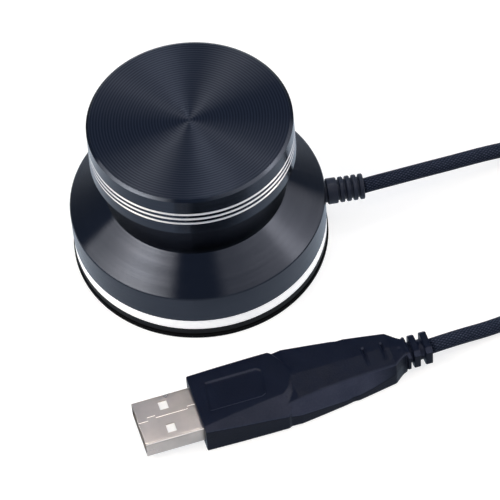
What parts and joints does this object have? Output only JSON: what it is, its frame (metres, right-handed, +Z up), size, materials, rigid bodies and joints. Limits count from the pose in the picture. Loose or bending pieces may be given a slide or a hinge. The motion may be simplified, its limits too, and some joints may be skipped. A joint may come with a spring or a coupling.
{
  "type": "usb volume control knob",
  "caption": "Low round desk knob for computer volume: turned metal knob on a coned metal base with a white light ring, and a slim braided lead to a USB plug.",
  "frame": {"origin": "middle of the underside of the foot pad", "axes": "+Z up along the axis the knob turns about; +X out through the gland where the lead leaves; the plug lies at negative Y"},
  "size_m": [0.1554, 0.0886, 0.0417],
  "materials": {
    "foot_rubber": "soft matte, faint ring pattern",
    "base_plastic": "fine moulded texture",
    "diffuser_white": "milky, smooth",
    "base_metal": "turned, dark anodised",
    "knob_metal": "turned, dark anodised, bright cut rings",
    "gland_rubber": "matte moulded",
    "cord_braid": "braided nylon",
    "strap_fabric": "woven strap",
    "plug_plastic": "satin moulded",
    "shell_metal": "nickel plated",
    "tongue_plastic": "moulded",
    "contact_gold": "gold flashed",
    "hub_plastic": "moulded",
    "rotor_plastic": "moulded",
    "clip_steel": "spring steel",
    "shaft_metal": "turned, plated",
    "case_steel": "tinned sheet",
    "board_green": "lacquered glass fibre",
    "chip_plastic": "moulded package with tinned leads",
    "can_metal": "drawn can",
    "led_plastic": "moulded",
    "link_plastic": "moulded strip with pins",
    "connector_plastic": "moulded",
    "wire_insulation": "smooth insulation",
    "screw_steel": "black zinc"
  },
  "bodies": {
    "base": {"foot_pad": "foot_rubber", "base_plate": "base_plastic", "light_ring": "diffuser_white", "base_housing": "base_metal", "cable_gland": "gland_rubber", "cord_from_base": "cord_braid", "cord_coil": "cord_braid", "cord_to_plug": "cord_braid", "cord_entry": "cord_braid", "coil_tie": "strap_fabric", "plug_overmould": "plug_plastic", "usb_shell": "shell_metal", "usb_tongue": "tongue_plastic", "usb_contacts": "contact_gold", "encoder_base": "hub_plastic", "switch_dome": "clip_steel", "encoder_bushing": "shaft_metal", "bushing_washer": "shaft_metal", "bushing_nut": "shaft_metal", "encoder_case": "case_steel", "encoder_pins": "case_steel", "encoder_board": "board_green", "main_board": "board_green", "control_chip": "chip_plastic", "crystal_can": "can_metal", "board_capacitors": "can_metal", "ring_leds": "led_plastic", "board_link_header": "link_plastic", "cable_header": "connector_plastic", "cable_plug": "connector_plastic", "cable_wires": "wire_insulation", "cover_screws": "screw_steel"},
    "rotor": {"encoder_rotor": "rotor_plastic"},
    "knob": {"knob_cap": "knob_metal", "knob_hub": "hub_plastic", "shaft_clip": "clip_steel", "encoder_shaft": "shaft_metal", "switch_plunger": "hub_plastic"}
  },
  "joints": [
    {"name": "knob_spin", "type": "hinge", "parent": "base", "child": "rotor", "pos_m": [0, 0, 0], "axis": [0, 0, 1], "continuous": true},
    {"name": "knob_press", "type": "slide", "parent": "rotor", "child": "knob", "axis": [0, 0, -1], "range_m": [0, 0.0005], "stiffness_N_per_m": 3000, "springref_m": -0.0008}
  ]
}
